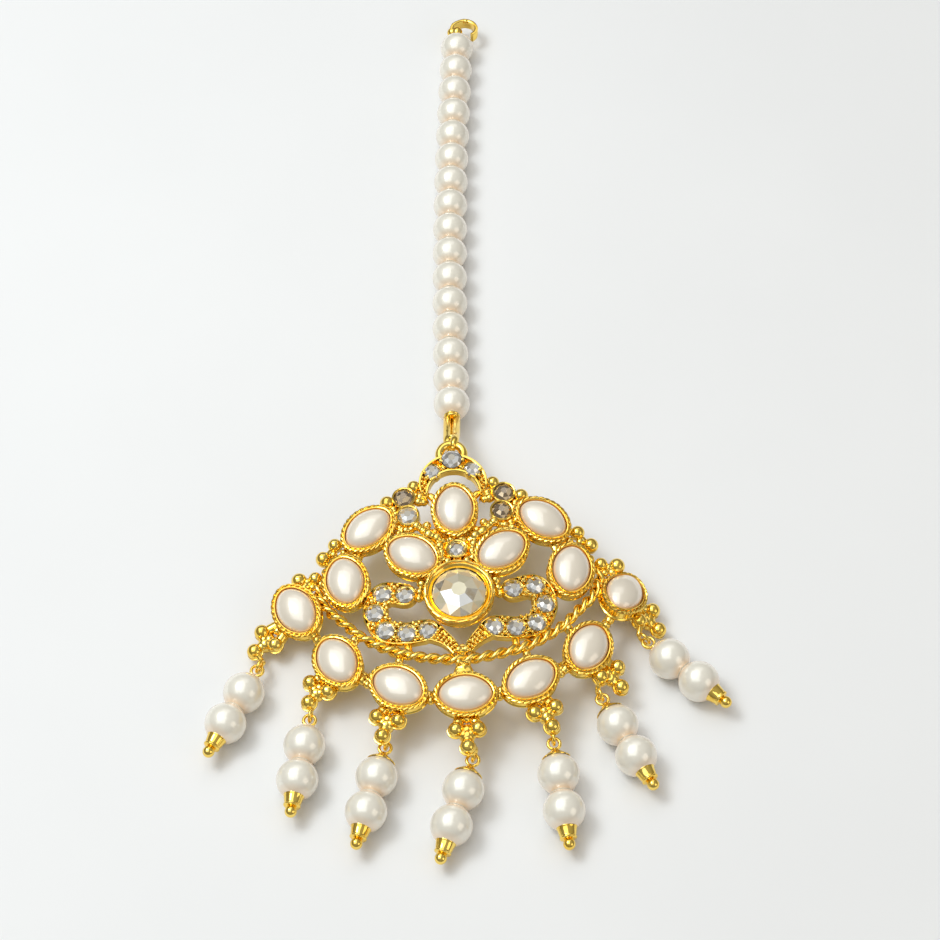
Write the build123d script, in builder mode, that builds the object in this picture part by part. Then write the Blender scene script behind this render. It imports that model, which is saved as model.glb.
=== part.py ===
from build123d import *
import os
from collections import namedtuple
from math import cos, exp, pi, radians, sin, sqrt

os.makedirs("parts", exist_ok=True)

# A maang tikka (forehead jewel) lying on a flat surface, z = 0.  Sizes in mm, angles in degrees.
# +Y runs along the medallion's axis towards the hook, +Z is up.
# The medallion is a thin casting bent round the forehead.  Its features are laid out on its
# back surface: "across" is the distance from its axis along the bend (right positive), "up"
# the distance from the big stone towards the hook, "height" the distance above the back.

# ---- the medallion as it lies ----
stone_x, stone_y = -0.37, -40.84      # foot of the big stone, so that the origin is mid-box
stone_z = 5.6
medallion_tilt = 4.0                # hook end raised
medallion_roll = -1.8               # left wing lowered
bend_radius = {"left": 120.0, "right": 90.0}
wing_kink = {"left": 0.0, "right": 8.6}     # further turn of the right wing, a bent casting
wing_kink_start, wing_kink_length = 17.0, 8.0
wing_steps = 80                     # in adding up the bend

# ---- cabochons and their cups ----
cabochon_length, cabochon_width = 7.4, 5.4
cabochon_floor, cabochon_girdle, cabochon_top = 1.15, 2.3, 4.2
cup_wall, cup_rim = 0.6, 0.75
cup_height, rim_height, rim_base = 2.3, 2.85, 2.0
seat_gap = 0.05
Cup = namedtuple("Cup", "name across up turn")
centre_cups = [
    Cup("top", 0.0, 13.8, 90),
    Cup("bottom_centre", 0.1, -16.3, -3),
]
paired_cups = [                     # right-hand side; the left is its mirror image
    Cup("inner", 6.35, 6.55, 34),
    Cup("upper", 12.6, 11.7, -38),
    Cup("middle", 16.1, 3.4, 80),
    Cup("far", 23.4, -0.2, 62),
    Cup("low", 17.6, -9.3, 63),
    Cup("bottom", 9.15, -14.4, 33),
]
cup_lean = {"far_left": -7.0, "far_right": 16.0}    # bent towards the hook, about the cup's middle
lean_pivot = 1.5

# ---- round stones: pavilion sunk in the metal, table above the girdle ----
stone_floor = 0.75
big_radius, big_girdle, big_table, big_bezel = 3.95, 2.2, 3.5, 5.05
big_bezel_height, big_lip = 2.9, 0.35
Stone = namedtuple("Stone", "across up radius")
small_stone = Stone(0.0, 7.35, 1.25)
crescent_stones = [Stone(0.0, 22.3, 1.3), Stone(-2.95, 20.8, 1.25), Stone(2.95, 20.8, 1.25)]
smoky_stones = [Stone(7.3, 16.65, 1.45), Stone(6.8, 13.55, 1.45)]
paisley_stones = [
    Stone(7.7, 0.45, 1.35),
    Stone(10.9, 0.95, 1.35),
    Stone(12.15, -2.1, 1.35),
    Stone(10.7, -5.1, 1.35),
    Stone(7.7, -5.8, 1.35),
    Stone(4.65, -5.6, 1.35),
]
stone_girdle, stone_table = 1.95, 2.65
girdle_band, culet_radius = 0.2, 0.3
stone_wall, round_cup_rise = 0.45, 0.2              # the round cups stand above the plates
plate_base, plate_top = 0.3, 2.0

# ---- crescent, paisleys and the rope swag ----
crescent_centre, crescent_radius = 18.67, 5.05
crescent_bite_centre, crescent_bite_radius = 17.0, 3.65
crescent_horn = 16.5
crescent_cut = 20.0                                 # size of the block that trims the horns
paisley_across, paisley_up = 8.0, -3.0
TailStep = namedtuple("TailStep", "across up radius")
paisley_tail = [TailStep(4.65, -5.6, 1.75), TailStep(3.0, -6.6, 1.2), TailStep(1.7, -7.8, 0.9),
                TailStep(0.75, -9.2, 0.75)]
swag_radius, swag_height = 0.72, 1.3
Knot = namedtuple("Knot", "across up")
swag = [Knot(0.0, -10.3), Knot(4.5, -9.8), Knot(8.9, -8.6), Knot(12.0, -7.0), Knot(14.6, -5.1),
        Knot(16.8, -2.8), Knot(19.0, -0.4), Knot(20.3, 2.2), Knot(20.4, 4.2)]
link_radius, link_height, link_stub = 0.6, 0.65, 0.3
Link = namedtuple("Link", "across1 up1 across2 up2")
paired_links = [
    Link(0.0, 13.8, 6.35, 6.55),        # top cup to inner cup
    Link(0.0, 7.35, 6.35, 6.55),        # small stone to inner cup
    Link(0.0, 0.0, 6.35, 6.55),         # bezel to inner cup
    Link(0.0, 0.0, 7.7, 0.45),          # bezel to paisley head
    Link(6.8, 13.55, 3.0, 13.8),        # smoky stones to top cup
    Link(6.8, 13.55, 6.35, 6.55),
    Link(5.8, 18.6, 4.0, 18.6),         # crescent to smoky stones
    Link(5.8, 18.6, 7.3, 16.65),
    Link(7.3, 16.65, 12.6, 11.7),
    Link(6.8, 13.55, 12.6, 11.7),
    Link(6.35, 6.55, 12.6, 11.7),
    Link(12.6, 11.7, 16.1, 3.4),
    Link(12.15, -2.1, 16.1, 3.4),       # paisley to middle cup
    Link(16.1, 3.4, 19.45, 8.05),
    Link(19.45, 8.05, 17.7, 10.1),
    Link(17.7, 10.1, 12.6, 11.7),
    Link(16.1, 3.4, 20.7, 5.0),
    Link(20.7, 5.0, 23.1, 5.0),
    Link(23.1, 5.0, 23.4, -0.2),
    Link(16.1, 3.4, 23.4, -0.2),
    Link(23.4, -0.2, 17.6, -9.3),
    Link(17.6, -9.3, 9.15, -14.4),
    Link(0.1, -16.3, 9.15, -14.4),
    Link(17.6, -9.3, 14.6, -5.1),       # swag to the lower cups
    Link(9.15, -14.4, 8.9, -8.6),
    Link(10.7, -5.1, 12.0, -7.0),       # paisley to swag
    Link(7.7, -5.8, 7.6, -9.0),
]
centre_links = [
    Link(0.0, 13.8, 0.0, 7.35),
    Link(0.0, 7.35, 0.0, 0.0),
    Link(0.0, -8.9, 0.0, -16.3),
    Link(-3.4, 17.0, 0.0, 13.8),
    Link(3.4, 17.0, 0.0, 13.8),
]

# ---- gold balls ----
ball_radius, ball_height, ball_flat_latitude = 1.1, 1.55, 80
Ball = namedtuple("Ball", "across up radius")
edge_balls = [
    Ball(5.8, 18.6, 1.0),
    Ball(9.8, 16.25, 1.1),
    Ball(17.7, 10.1, 1.05),
    Ball(19.45, 8.05, 1.15),
    Ball(20.7, 5.0, 1.0),
    Ball(23.1, 5.0, 1.2),
]
trio_spacing = 3.1

# ---- drops: pin with an eye, two pearls, a cone and a ball head ----
drop_pearl_radius, drop_pearl_half = 2.95, 2.7      # half is to the flats round the bore
pearl_bore = 0.55
bead_gap = 0.06
pin_radius, eye_radius, pin_neck = 0.28, 0.85, 0.1
loop_radius, loop_wire, stem_radius, stem_turn = 0.95, 0.3, 0.45, -45
cone_wide, cone_narrow, cone_start, cone_end = 1.35, 0.9, 2.55, 4.5
head_radius = 0.86
cap_radius, cap_inner, cap_outer = 1.5, 3.05, 3.35
Drop = namedtuple("Drop", "across up trio_heading loop_x loop_y loop_z heading cap")
drops = [           # across, up: the trio's outer ball; loop: where the cast loop is from that ball
    Drop(-29.9, -5.3, -141, 0.8, -3.0, 0.6, -118, False),
    Drop(-22.0, -14.8, -125, 0.2, -1.8, -0.6, -101, False),
    Drop(-11.75, -21.3, -108, 0.6, -0.3, -1.55, -107, True),
    Drop(0.0, -24.0, -90, 0.9, -0.5, -1.5, -110, True),
    Drop(11.75, -21.3, -72, 0.1, -1.1, -1.45, -86, True),
    Drop(22.0, -14.8, -55, -3.1, -0.6, -1.45, -67, True),
    Drop(28.8, -4.6, -47, -2.4, -2.1, 0.6, -46, False),
]

# ---- string of pearls, the clamp that joins it to the top ring, and the hook ----
string_count = 16
string_pearl_radius, string_pitch, string_half = 2.8, 5.25, 2.55
string_start_x, string_start_y = 0.6, 37.0      # first pearl, from the foot of the big stone
string_heading, string_bow = 3.4, 0.7           # to the right, and a slight bow to the left
string_lift, string_fall = 0.9, 5.0             # the clamp holds the first pearls up
tangent_step = 0.5                              # either side of a pearl, for the thread's direction
wire_radius, wire_hole = 0.3, 0.36
wire_end = 0.4                                  # how far it runs into the clamp and the hook
ring_up, ring_height, ring_radius, ring_wire = 23.75, 0.7, 1.8, 0.55
collar_radius, collar_length = 1.3, 0.7
clamp_width, clamp_depth, clamp_groove = 2.6, 1.3, 0.4
groove_overrun = 1.0                            # how far the groove runs past the strip's ends
clamp_start = 3.3                               # from the ring's centre to the folded strip
bail_width, bail_depth, bail_side, bail_lift = 0.8, 0.5, 0.3, 1.2
bail_inside = 0.5                               # from the ring's centre to the bail's bend
bail_root_in, bail_root_rise = 0.5, 0.35        # where it starts inside the strip
hook_radius, hook_band, hook_height = 2.1, 0.75, 1.9
hook_side, hook_ahead, hook_curl = 0.8, 3.9, 35.0   # its right end curls back beyond a half ring
hook_stem, hook_bead, hook_knob, hook_knob_turn = 0.5, 0.8, 0.6, -12.0
hook_collar, hook_collar_length = 0.8, 0.9

side_signs = {"left": -1, "right": 1}
medallion_pose = Location((stone_x, stone_y, stone_z), (medallion_tilt, medallion_roll, 0))


def wing(across):
    """x, z and slope of the medallion's back at a distance across, by adding up its bend."""
    side = "right" if across >= 0 else "left"
    x = z = slope = 0.0
    for step in range(wing_steps):
        run = (step + 0.5) / wing_steps * abs(across)
        kink = min(max((run - wing_kink_start) / wing_kink_length, 0), 1)
        slope = run / bend_radius[side] + radians(wing_kink[side]) * kink
        x += cos(slope) * abs(across) / wing_steps
        z -= sin(slope) * abs(across) / wing_steps
    return side_signs[side] * x, z, side_signs[side] * slope


def seat(across, up, height=0.0, turn=0.0):
    """The plane that touches the medallion there, with its x axis turned from across to up."""
    x, z, slope = wing(across)
    tangent = Vector(cos(slope), 0, -sin(slope))
    normal = Vector(sin(slope), 0, cos(slope))
    long_way = tangent * cos(radians(turn)) + Vector(0, 1, 0) * sin(radians(turn))
    flat = Plane(origin=Vector(x, up, z) + normal * height, x_dir=long_way, z_dir=normal)
    return Plane(medallion_pose * flat.location)


def rod(start, end, radius):
    """A round bar between two points."""
    along = end - start
    plane = Plane(origin=start, z_dir=along)
    solid = Cylinder(radius, along.length, align=(Align.CENTER, Align.CENTER, Align.MIN), mode=Mode.PRIVATE)
    return plane.location * solid


def ball(centre, radius):
    """A cast ball with a tiny flat at its top and bottom."""
    flat = ball_flat_latitude
    return Location(centre) * Sphere(radius, arc_size1=-flat, arc_size2=flat, mode=Mode.PRIVATE)


def write(part, name):
    part.label = name
    export_step(part, f"parts/{name}.step")


def all_cups():
    """Every cabochon's cup: the two on the axis and both of each pair."""
    cups = list(centre_cups)
    for side, sign in side_signs.items():
        cups += [Cup(f"{c.name}_{side}", sign * c.across, c.up, sign * c.turn) for c in paired_cups]
    return cups


def both_sides(rows):
    """The rows and their mirror images."""
    return list(rows) + [row._replace(across=-row.across) for row in rows]


def cup_seat_of(cup):
    """A cup's own plane: the medallion's back there, leaned about a point in the cup's middle."""
    lean = Location((0, 0, 0), (-cup_lean.get(cup.name, 0.0), 0, 0))
    turn = Location((0, 0, -lean_pivot), (0, 0, cup.turn))
    return Plane(seat(cup.across, cup.up, lean_pivot).location * lean * turn)


cups = all_cups()
cup_seats = [cup_seat_of(cup) for cup in cups]
round_cups = both_sides(smoky_stones) + [small_stone]


def trio_balls(drop):
    """The two inner balls and the outer one, on the medallion's surface."""
    out = radians(drop.trio_heading)
    depth = trio_spacing * sqrt(3) / 2
    inner = []
    for sign in (1, -1):
        across = drop.across - depth * cos(out) - sign * trio_spacing / 2 * sin(out)
        up = drop.up - depth * sin(out) + sign * trio_spacing / 2 * cos(out)
        inner.append(Ball(across, up, ball_radius))
    return inner + [Ball(drop.across, drop.up, ball_radius)]


def loop_centre(drop):
    """Centre of the cast loop, no lower than a pearl's centre."""
    place = seat(drop.across, drop.up, ball_height).origin
    height = max(place.Z + drop.loop_z, drop_pearl_radius)
    return Vector(place.X + drop.loop_x, place.Y + drop.loop_y, height)


def drop_pose(drop):
    """Plane at the eye's centre, z along the pin, and how far along it the pearls are."""
    loop = loop_centre(drop)
    eye_end = eye_radius + pin_radius + pin_neck
    upper = eye_end + (cap_outer if drop.cap else drop_pearl_half + bead_gap)
    lower = upper + 2 * drop_pearl_half + bead_gap
    fall = (loop.Z - drop_pearl_radius) / (lower + eye_radius)
    flat = sqrt(1 - fall * fall)
    heading = radians(drop.heading)
    along = Vector(flat * cos(heading), flat * sin(heading), -fall)
    sideways = Vector(-sin(heading), cos(heading), 0)
    return Plane(origin=loop + along * eye_radius, x_dir=sideways, z_dir=along), upper, lower


def string_point(distance):
    """Centre of the string at a distance from its first pearl."""
    length = (string_count - 1) * string_pitch
    away = radians(string_heading)
    bow = string_bow * sin(pi * min(max(distance / length, 0), 1))
    x = stone_x + string_start_x + distance * sin(away) - bow
    y = stone_y + string_start_y + distance * cos(away)
    z = string_pearl_radius + string_lift * exp(-distance / string_fall)
    return Vector(x, y, z)


def string_seats():
    """A plane at each pearl of the string, z along the thread."""
    distance = 0.0
    seats = []
    for _ in range(string_count):
        here = string_point(distance)
        along = string_point(distance + tangent_step) - string_point(distance - tangent_step)
        seats.append(Plane(origin=here, x_dir=Vector(1, 0, 0), z_dir=along))
        stretch = (string_point(distance + string_pitch) - here).length / string_pitch
        distance += string_pitch / stretch
    return seats


def pearl(plane, radius, half):
    """A drilled pearl with a small flat round each mouth of its bore."""
    with BuildPart(plane) as bead:
        Sphere(radius)
        Cylinder(radius, 2 * half, mode=Mode.INTERSECT)
        Cylinder(pearl_bore, 3 * radius, mode=Mode.SUBTRACT)
    return bead.part


def round_stone(plane, radius, girdle, table, table_ratio=0.6):
    """A cut stone as a turned form: point below, girdle, crown and flat table."""
    with BuildPart() as gem:
        with BuildSketch(Plane(origin=plane.origin, x_dir=plane.x_dir, z_dir=-plane.y_dir)):
            Polygon((0, stone_floor), (culet_radius, stone_floor), (radius, girdle - girdle_band / 2),
                    (radius, girdle + girdle_band / 2), (table_ratio * radius, table), (0, table), align=None)
        revolve(axis=Axis(plane.origin, plane.z_dir))
    return gem.part


# ---------------------------------------------------------------- the medallion casting
def ovals(height, margin):
    """The cabochons' outline, widened by a margin, on every cup's seat at one height."""
    with BuildSketch(*[s.offset(height) for s in cup_seats]) as sketch:
        Ellipse(cabochon_length / 2 + margin, cabochon_width / 2 + margin)
    return sketch.sketch


def discs(rows, height, margin):
    """The stones' outlines, widened by a margin, on each one's seat at one height."""
    faces = []
    for row in rows:
        with BuildSketch(seat(row.across, row.up, height)) as sketch:
            Circle(row.radius + margin)
        faces += sketch.sketch.faces()
    return faces


def outline_cups():
    """Cup walls and their wider rims, the big bezel and the small round cups."""
    extrude(ovals(0, cup_wall), amount=cup_height)
    extrude(ovals(rim_base, cup_rim), amount=rim_height - rim_base)
    extrude(discs([Stone(0, 0, big_bezel)], 0, 0), amount=big_bezel_height)
    extrude(discs(round_cups, 0, stone_wall), amount=plate_top + round_cup_rise)


def outline_crescent():
    with BuildSketch(seat(0, crescent_centre, plate_base)) as moon:
        Circle(crescent_radius)
        with Locations((0, crescent_bite_centre - crescent_centre)):
            Circle(crescent_bite_radius, mode=Mode.SUBTRACT)
        with Locations((0, crescent_horn - crescent_centre)):
            Rectangle(crescent_cut, crescent_cut, align=(Align.CENTER, Align.MAX), mode=Mode.SUBTRACT)
    extrude(moon.sketch, amount=plate_top - plate_base)
    ring = seat(0, ring_up, ring_height)
    with Locations(ring.location):
        Torus(ring_radius, ring_wire)


def outline_paisley(sign):
    """A comma of overlapping discs under the stones, with a tail that narrows to a point."""
    steps = [TailStep(s.across, s.up, s.radius + stone_wall) for s in paisley_stones]
    with BuildSketch(seat(sign * paisley_across, paisley_up, plate_base)) as comma:
        for first, second in list(zip(steps, steps[1:])) + list(zip(paisley_tail, paisley_tail[1:])):
            with BuildSketch(Plane.XY, mode=Mode.PRIVATE) as span:
                for step in (first, second):
                    with Locations((sign * (step.across - paisley_across), step.up - paisley_up)):
                        Circle(step.radius)
                make_hull()
            add(span.sketch)
    extrude(comma.sketch, amount=plate_top - plate_base)


def bars():
    """Links and balls, as plain solids to be joined to the rest."""
    pieces = []
    for link in paired_links:
        for sign in side_signs.values():
            start = seat(sign * link.across1, link.up1, link_height).origin
            pieces.append(rod(start, seat(sign * link.across2, link.up2, link_height).origin, link_radius))
    for link in centre_links:
        start = seat(link.across1, link.up1, link_height).origin
        pieces.append(rod(start, seat(link.across2, link.up2, link_height).origin, link_radius))
    for row in both_sides(edge_balls):
        pieces.append(ball(seat(row.across, row.up, ball_height).origin, row.radius))
    for drop in drops:
        balls = trio_balls(drop)
        places = [seat(b.across, b.up, ball_height).origin for b in balls]
        pieces += [ball(place, ball_radius) for place in places]
        middle = sum(places, Vector(0, 0, 0)) / len(places)
        cup = min(cup_seats, key=lambda s: (s.origin - middle).length).origin
        pieces += [rod(middle, place, link_radius) for place in places]
        pieces.append(rod(middle, cup + (middle - cup) * link_stub, link_radius))
        loop = loop_centre(drop)
        facing = Vector(-sin(radians(drop.heading)), cos(radians(drop.heading)), 0)
        ring = Plane(origin=loop, x_dir=Vector(0, 0, 1), z_dir=facing)
        pieces.append(ring.location * Torus(loop_radius, loop_wire, mode=Mode.PRIVATE))
        back = ring.from_local_coords(Vector(loop_radius, 0, 0).rotate(Axis.Z, stem_turn))
        nearest = min(places, key=lambda place: (place - back).length)
        pieces.append(rod(nearest, back, stem_radius))
    return pieces


def pockets():
    """The hollows that hold the cabochons and the stones."""
    extrude(ovals(cabochon_floor - seat_gap, seat_gap), amount=rim_height, mode=Mode.SUBTRACT)
    rows = [Stone(0, 0, big_radius)] + round_cups + crescent_stones
    extrude(discs(rows, stone_floor - seat_gap, seat_gap), amount=big_bezel_height, mode=Mode.SUBTRACT)
    for sign in side_signs.values():
        with BuildSketch(seat(sign * paisley_across, paisley_up, stone_floor - seat_gap)) as holes:
            for stone in paisley_stones:
                with Locations((sign * (stone.across - paisley_across), stone.up - paisley_up)):
                    Circle(stone.radius + seat_gap)
        extrude(holes.sketch, amount=plate_top, mode=Mode.SUBTRACT)


knots = [Knot(-knot.across, knot.up) for knot in reversed(swag[1:])] + swag
with BuildPart() as swag_rope:
    with BuildLine() as thread:
        Spline(*[seat(knot.across, knot.up, swag_height).origin for knot in knots])
    with BuildSketch(Plane(origin=thread.line @ 0, z_dir=thread.line % 0)):
        Circle(swag_radius)
    sweep()

with BuildPart() as medallion:
    outline_cups()
    outline_crescent()
    for side_sign in side_signs.values():
        outline_paisley(side_sign)
    add(swag_rope.part)
    add(bars())
    pockets()
    with Locations(seat(0, 0, big_bezel_height).location):
        Cone(big_radius + seat_gap, big_bezel - big_lip, 2 * (big_bezel_height - big_girdle),
             align=(Align.CENTER, Align.CENTER, Align.CENTER), mode=Mode.SUBTRACT)
write(medallion.part, "medallion")

# ---------------------------------------------------------------- cabochons and stones
half_ball = Sphere(1, arc_size1=0, align=(Align.CENTER, Align.CENTER, Align.MIN))
dome = scale(half_ball, by=(cabochon_length / 2, cabochon_width / 2, cabochon_top - cabochon_girdle))
for cup, cup_seat in zip(cups, cup_seats):
    with BuildPart() as cabochon:
        with BuildSketch(cup_seat.offset(cabochon_floor)):
            Ellipse(cabochon_length / 2, cabochon_width / 2)
        extrude(amount=cabochon_girdle - cabochon_floor)
        add(cup_seat.offset(cabochon_girdle).location * dome)
    write(cabochon.part, f"cabochon_{cup.name}")

write(round_stone(seat(0, 0), big_radius, big_girdle, big_table, 0.5), "centre_stone")


def stone_group(rows, name, plane_of):
    """Several loose stones of one kind in one node."""
    gems = [round_stone(plane_of(s), s.radius, stone_girdle, stone_table) for s in rows]
    write(Compound(children=gems), name)


stone_group(crescent_stones + [small_stone], "crescent_stones", lambda s: seat(s.across, s.up))
stone_group(both_sides(smoky_stones), "smoky_stones", lambda s: seat(s.across, s.up))
for side_name, side_sign in side_signs.items():
    plate = seat(side_sign * paisley_across, paisley_up)
    stone_group(paisley_stones, f"paisley_stones_{side_name}",
                lambda s: Plane(plate.location * Location((side_sign * (s.across - paisley_across),
                                                           s.up - paisley_up, 0))))

# ---------------------------------------------------------------- drops
for number, drop in enumerate(drops, 1):
    pose, upper, lower = drop_pose(drop)
    for where, distance in (("upper", upper), ("lower", lower)):
        write(pearl(pose.offset(distance), drop_pearl_radius, drop_pearl_half),
              f"drop_{number}_pearl_{where}")
    with BuildPart(pose) as pin:
        Torus(eye_radius, pin_radius, rotation=(90, 0, 0))
        with Locations((0, 0, eye_radius)):
            Cylinder(pin_radius, lower + cone_end + head_radius - eye_radius,
                     align=(Align.CENTER, Align.CENTER, Align.MIN))
        with Locations((0, 0, lower + cone_end + bead_gap + head_radius)):
            Sphere(head_radius)
    with BuildPart(pose) as cone:
        with Locations((0, 0, lower + cone_start)):
            Cone(cone_wide, cone_narrow, cone_end - cone_start,
                 align=(Align.CENTER, Align.CENTER, Align.MIN))
        with Locations((0, 0, lower)):
            Sphere(drop_pearl_radius + bead_gap, mode=Mode.SUBTRACT)
            Cylinder(pin_radius + bead_gap, 4 * drop_pearl_radius, mode=Mode.SUBTRACT)
    fittings = [pin.part, cone.part]
    if drop.cap:
        with BuildPart(pose) as cap:
            with Locations((0, 0, upper)):
                Sphere(cap_outer)
                Sphere(cap_inner, mode=Mode.SUBTRACT)
                Cylinder(cap_radius, cap_outer, align=(Align.CENTER, Align.CENTER, Align.MAX),
                         mode=Mode.INTERSECT)
                Cylinder(pin_radius + bead_gap, 4 * cap_outer, mode=Mode.SUBTRACT)
        fittings.append(cap.part)
    write(Compound(children=fittings), f"drop_{number}_pin")

# ---------------------------------------------------------------- string of pearls
threaded = string_seats()
for number, bead_seat in enumerate(threaded, 1):
    write(pearl(bead_seat, string_pearl_radius, string_half), f"string_pearl_{number:02d}")

clamp_seat = threaded[0].offset(-string_half - bead_gap)
hook_seat = threaded[-1].offset(string_half + bead_gap)
with BuildPart() as string_wire:
    with BuildLine() as thread:
        Spline(clamp_seat.offset(-wire_end).origin, *[bead_seat.origin for bead_seat in threaded],
               hook_seat.offset(wire_end).origin)
    with BuildSketch(Plane(origin=thread.line @ 0, z_dir=thread.line % 0)):
        Circle(wire_radius)
    sweep()
write(string_wire.part, "string_wire")

# ---------------------------------------------------------------- clamp on the top ring
ring_centre = seat(0, ring_up, ring_height).origin
toward = clamp_seat.origin - ring_centre
clamp_level = Vector(toward.X, toward.Y, 0).normalized()
clamp_side = Plane(origin=ring_centre, x_dir=clamp_level, z_dir=clamp_level.cross(Vector(0, 0, 1)))
collar_far = clamp_side.to_local_coords(clamp_seat.offset(-collar_length / 2).origin)
collar_way = clamp_side.to_local_coords(clamp_seat.z_dir + ring_centre)
with BuildPart() as top_clamp:
    with BuildSketch(clamp_side):
        with BuildLine():
            strip = Spline((clamp_start, 0), (collar_far.X, collar_far.Y),
                           tangents=((1, 0), (collar_way.X, collar_way.Y)))
        trace(line_width=clamp_depth)
    extrude(amount=clamp_width / 2, both=True)
    with BuildSketch(clamp_side):
        with BuildLine():
            Spline(strip @ 0 + Vector(-groove_overrun, clamp_depth / 2),
                   strip @ 0.5 + Vector(0, clamp_depth / 2),
                   strip @ 1 + Vector(groove_overrun, clamp_depth / 2))
        trace(line_width=clamp_groove)
    extrude(amount=clamp_groove / 2, both=True, mode=Mode.SUBTRACT)
    with BuildSketch(clamp_side.offset(bail_side)):
        with BuildLine():
            root = clamp_start + bail_root_in
            Spline((root, bail_root_rise), (ring_radius, bail_lift), (bail_inside, 0),
                   (ring_radius, -bail_lift), (root, -bail_root_rise))
        trace(line_width=bail_depth)
    extrude(amount=bail_width / 2, both=True)
    with Locations(clamp_seat.offset(-collar_length).location):
        Cylinder(collar_radius, collar_length, align=(Align.CENTER, Align.CENTER, Align.MIN))
    with Locations(clamp_seat.location):
        Cylinder(wire_hole, 3 * wire_end, mode=Mode.SUBTRACT)
write(top_clamp.part, "top_clamp")

# ---------------------------------------------------------------- hook
hook_level = Vector(hook_seat.z_dir.X, hook_seat.z_dir.Y, 0).normalized()
hook_plane = Plane(origin=hook_seat.origin, x_dir=hook_level, z_dir=(0, 0, 1))
hook_middle = Vector(hook_ahead - string_half, -hook_side)
with BuildPart() as hook:
    with BuildSketch(hook_plane.offset(-hook_height / 2)):
        with BuildLine():
            band = CenterArc(hook_middle, hook_radius, 90, -180 - hook_curl)
        trace(line_width=hook_band)
    extrude(amount=hook_height)
    with Locations(hook_plane.location):
        with Locations(band @ 0):
            Sphere(hook_bead)
        with Locations(hook_middle + Vector(hook_radius + hook_knob / 2, 0).rotate(Axis.Z, hook_knob_turn)):
            Sphere(hook_knob)
    with Locations(hook_seat.location):
        Cylinder(hook_collar, hook_collar_length, align=(Align.CENTER, Align.CENTER, Align.MIN))
        Cylinder(hook_stem, hook_middle.X + hook_radius, align=(Align.CENTER, Align.CENTER, Align.MIN))
        Cylinder(wire_hole, 3 * wire_end, mode=Mode.SUBTRACT)
write(hook.part, "hook")
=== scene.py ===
# A maang tikka (forehead jewel) lying on a pale floor.  Lengths are in millimetres in this file
# and become metres where a piece is made.  The medallion's features are laid out on its back
# surface as in the model: "across" from its axis along the bend, "up" towards the hook,
# "height" above the back.
from collections import namedtuple
from math import atan2, cos, pi, radians, sin, sqrt, tau

import bpy
from mathutils import Matrix, Vector


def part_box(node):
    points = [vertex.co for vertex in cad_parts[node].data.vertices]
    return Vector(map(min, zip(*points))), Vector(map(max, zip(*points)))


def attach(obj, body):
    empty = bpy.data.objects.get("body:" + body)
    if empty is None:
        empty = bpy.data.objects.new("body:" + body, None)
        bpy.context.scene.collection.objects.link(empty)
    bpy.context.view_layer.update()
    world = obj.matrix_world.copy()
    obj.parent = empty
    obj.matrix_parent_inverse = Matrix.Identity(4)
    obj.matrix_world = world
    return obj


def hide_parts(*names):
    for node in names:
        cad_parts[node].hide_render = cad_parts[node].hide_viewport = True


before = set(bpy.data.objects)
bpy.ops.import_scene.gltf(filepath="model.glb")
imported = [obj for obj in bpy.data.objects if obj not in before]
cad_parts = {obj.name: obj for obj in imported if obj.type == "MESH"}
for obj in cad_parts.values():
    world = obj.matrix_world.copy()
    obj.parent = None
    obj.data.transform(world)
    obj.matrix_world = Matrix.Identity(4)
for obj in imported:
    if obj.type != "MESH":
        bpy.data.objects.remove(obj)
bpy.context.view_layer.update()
scene = bpy.context.scene
MM = 0.001

# -------- sizes, most of them as in the model
stone_x, stone_y, stone_z = -0.37, -40.84, 5.6
medallion_tilt, medallion_roll = 4.0, -1.8
bend_radius = {"left": 120.0, "right": 90.0}
wing_kink = {"left": 0.0, "right": 8.6}
wing_kink_start, wing_kink_length = 17.0, 8.0

Cup = namedtuple("Cup", "name across up turn")
centre_cups = [
    Cup("top", 0.0, 13.8, 90),
    Cup("bottom_centre", 0.1, -16.3, -3),
]
paired_cups = [                     # right-hand side; the left is its mirror image
    Cup("inner", 6.35, 6.55, 34),
    Cup("upper", 12.6, 11.7, -38),
    Cup("middle", 16.1, 3.4, 80),
    Cup("far", 23.4, -0.2, 62),
    Cup("low", 17.6, -9.3, 63),
    Cup("bottom", 9.15, -14.4, 33),
]
cup_lean = {"far_left": -7.0, "far_right": 16.0}    # bent towards the hook, about the cup's middle
lean_pivot = 1.5
cabochon_long, cabochon_wide = 3.8, 2.75            # half sizes
cabochon_foot, cabochon_girdle, cabochon_top = 1.2, 2.35, 4.2
cabochon_point = 0.09                               # how much narrower its ends are than an ellipse's

Stone = namedtuple("Stone", "across up radius")
big_stone = Stone(0.0, 0.0, 3.9)
small_stone = Stone(0.0, 7.35, 1.25)
crest_seat, crest_stone, crest_rise = Stone(0.0, 22.3, 1.3), Stone(0.0, 22.5, 1.495), 0.4
horn_stones = [Stone(-2.95, 20.8, 1.25), Stone(2.95, 20.8, 1.25)]
smoky_stones = [Stone(7.3, 16.65, 1.45), Stone(6.8, 13.55, 1.45)]
paisley_stones = [Stone(across, up, 1.35) for across, up in (
    (7.7, 0.45), (10.9, 0.95), (12.15, -2.1), (10.7, -5.1), (7.7, -5.8), (4.65, -5.6))]

crescent_centre, crescent_radius = 18.67, 5.05
bite_centre, bite_radius = 17.0, 3.65

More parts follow.
